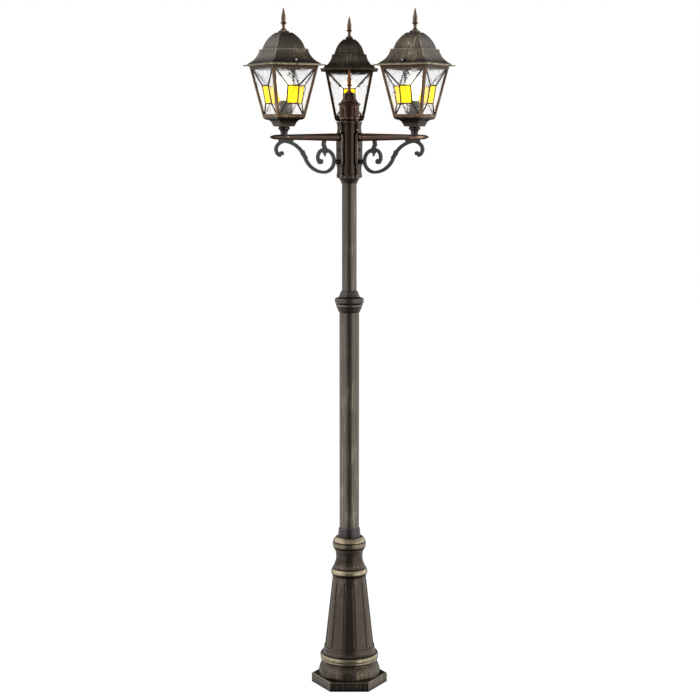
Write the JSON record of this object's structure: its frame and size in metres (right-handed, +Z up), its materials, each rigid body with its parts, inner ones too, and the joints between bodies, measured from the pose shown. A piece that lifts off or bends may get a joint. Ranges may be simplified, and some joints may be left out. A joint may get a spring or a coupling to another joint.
{
  "type": "triple head lamp post",
  "caption": "Tall garden lamp post on a fluted hexagonal base, with square stained-glass lanterns on scrolled arms round a hub.",
  "frame": {"origin": "on the pole's axis at ground level, the centre of the ground plate's bolt circle", "axes": "+Z up along the pole; +Y towards the rear arm; the other two arms point 30 degrees below -X and +X; -Y is the front, facing a flat side of the plinth"},
  "size_m": [0.6872, 0.5952, 2.269],
  "materials": {
    "cast_patina": "brown-black brushed with gold and brass on rings and edges",
    "dark_cast": "satin dark grey-black",
    "tube_patina": "satin brown-black with vertical brushed gold streaks",
    "lantern_patina": "dark brown with bronze edges",
    "roof_patina": "dark brown with rubbed hips and rim",
    "arm_patina": "black with coppery brushed highlight",
    "copper_patina": "brown with coppery rub",
    "scroll_black": "grey-black satin",
    "lead_came": "dull dark lead",
    "clear_glass": "clear, hammered texture",
    "amber_glass": "yellow cathedral glass",
    "lit_bulb": "opal bulb, lit",
    "bulb_cap_metal": "screw cap",
    "holder_black": "satin black",
    "screw_steel": "bright zinc",
    "black_screw": "black",
    "zinc_steel": "zinc plated",
    "terminal_plastic": "natural nylon",
    "brass_nipple": "threaded brass"
  },
  "bodies": {
    "post": {"base_casting": "cast_patina", "base_sleeve": "dark_cast", "ground_plate": "zinc_steel", "tie_rod": "zinc_steel", "clamp_bar": "zinc_steel", "tie_nuts": "zinc_steel", "terminal_block": "terminal_plastic", "lower_tube": "tube_patina", "mid_collar": "cast_patina", "upper_tube": "tube_patina", "set_screws": "screw_steel", "hub_casting": "cast_patina", "hub_screws": "black_screw", "hub_cap": "copper_patina", "hub_finial": "copper_patina", "scroll_bolts": "black_screw", "nipples": "brass_nipple", "left_arm": "arm_patina", "left_scroll": "scroll_black", "left_spindle": "dark_cast", "left_tray": "lantern_patina", "left_cage": "lantern_patina", "left_clear_glass": "clear_glass", "left_amber_glass": "amber_glass", "left_came": "lead_came", "left_lampholder": "holder_black", "right_arm": "arm_patina", "right_scroll": "scroll_black", "right_spindle": "dark_cast", "right_tray": "lantern_patina", "right_cage": "lantern_patina", "right_clear_glass": "clear_glass", "right_amber_glass": "amber_glass", "right_came": "lead_came", "right_lampholder": "holder_black", "rear_arm": "arm_patina", "rear_scroll": "scroll_black", "rear_spindle": "dark_cast", "rear_tray": "lantern_patina", "rear_cage": "lantern_patina", "rear_clear_glass": "clear_glass", "rear_amber_glass": "amber_glass", "rear_came": "lead_came", "rear_lampholder": "holder_black"},
    "left_lid": {"left_roof": "roof_patina", "left_finial": "copper_patina", "left_roof_screws": "screw_steel"},
    "left_bulb": {"left_bulb_glass": "lit_bulb", "left_bulb_cap": "bulb_cap_metal"},
    "right_lid": {"right_roof": "roof_patina", "right_finial": "copper_patina", "right_roof_screws": "screw_steel"},
    "right_bulb": {"right_bulb_glass": "lit_bulb", "right_bulb_cap": "bulb_cap_metal"},
    "rear_lid": {"rear_roof": "roof_patina", "rear_finial": "copper_patina", "rear_roof_screws": "screw_steel"},
    "rear_bulb": {"rear_bulb_glass": "lit_bulb", "rear_bulb_cap": "bulb_cap_metal"}
  },
  "joints": [
    {"name": "left_roof_lift", "type": "slide", "parent": "post", "child": "left_lid", "axis": [0, 0, 1], "range_m": [0, 0.13]},
    {"name": "left_bulb_unscrew", "type": "slide", "parent": "post", "child": "left_bulb", "axis": [0, 0, 1], "range_m": [0, 0.024]},
    {"name": "right_roof_lift", "type": "slide", "parent": "post", "child": "right_lid", "axis": [0, 0, 1], "range_m": [0, 0.13]},
    {"name": "right_bulb_unscrew", "type": "slide", "parent": "post", "child": "right_bulb", "axis": [0, 0, 1], "range_m": [0, 0.024]},
    {"name": "rear_roof_lift", "type": "slide", "parent": "post", "child": "rear_lid", "axis": [0, 0, 1], "range_m": [0, 0.13]},
    {"name": "rear_bulb_unscrew", "type": "slide", "parent": "post", "child": "rear_bulb", "axis": [0, 0, 1], "range_m": [0, 0.024]}
  ]
}
